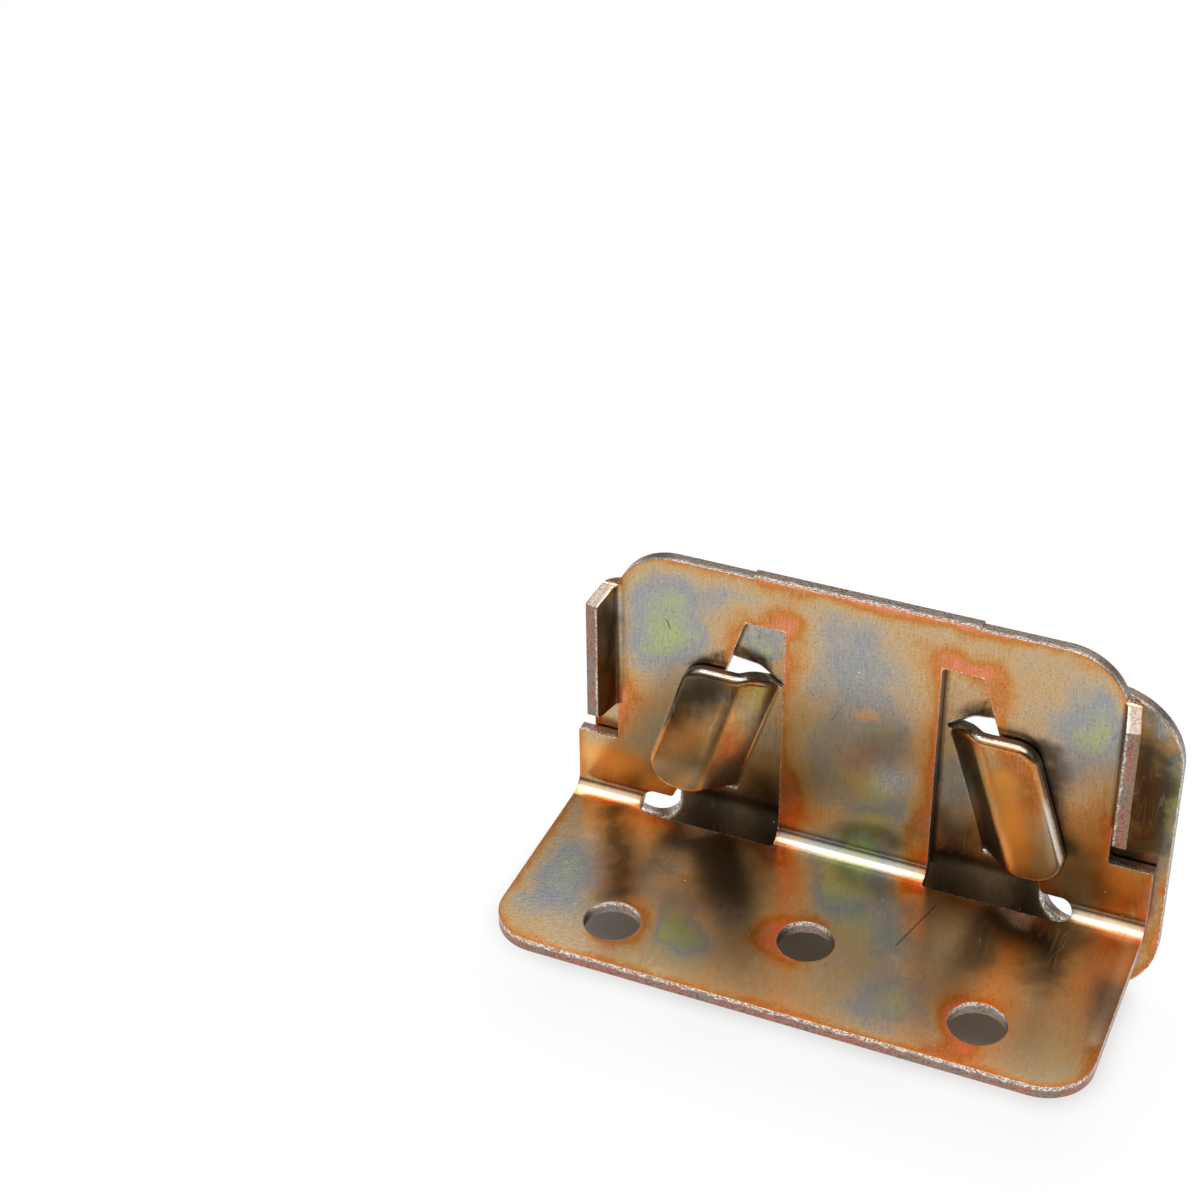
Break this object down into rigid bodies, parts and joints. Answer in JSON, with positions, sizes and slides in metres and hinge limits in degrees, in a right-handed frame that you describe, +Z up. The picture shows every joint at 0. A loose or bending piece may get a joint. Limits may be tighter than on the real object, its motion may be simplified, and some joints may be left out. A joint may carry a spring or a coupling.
{
  "type": "bed rail fastener",
  "caption": "Folded steel rail bracket hung on the two lanced hooks of a post plate, for joining a bed rail to its post.",
  "frame": {"origin": "mid length of the bracket on the hook plate's back face, level with the top of the bracket's flange", "axes": "+X to the right along the fastener, +Y back into the bed post, +Z up, the way the bracket lifts off"},
  "size_m": [0.0918, 0.0407, 0.0623],
  "materials": {
    "plate_steel": "yellow passivated zinc, satin",
    "bracket_steel": "yellow passivated zinc, satin"
  },
  "bodies": {
    "post_plate": {"hook_plate": "plate_steel"},
    "bracket": {"rail_bracket": "bracket_steel"}
  },
  "joints": [
    {"name": "lift", "type": "slide", "parent": "post_plate", "child": "bracket", "axis": [0, 0, 1], "range_m": [-0.008, 0.019]}
  ]
}
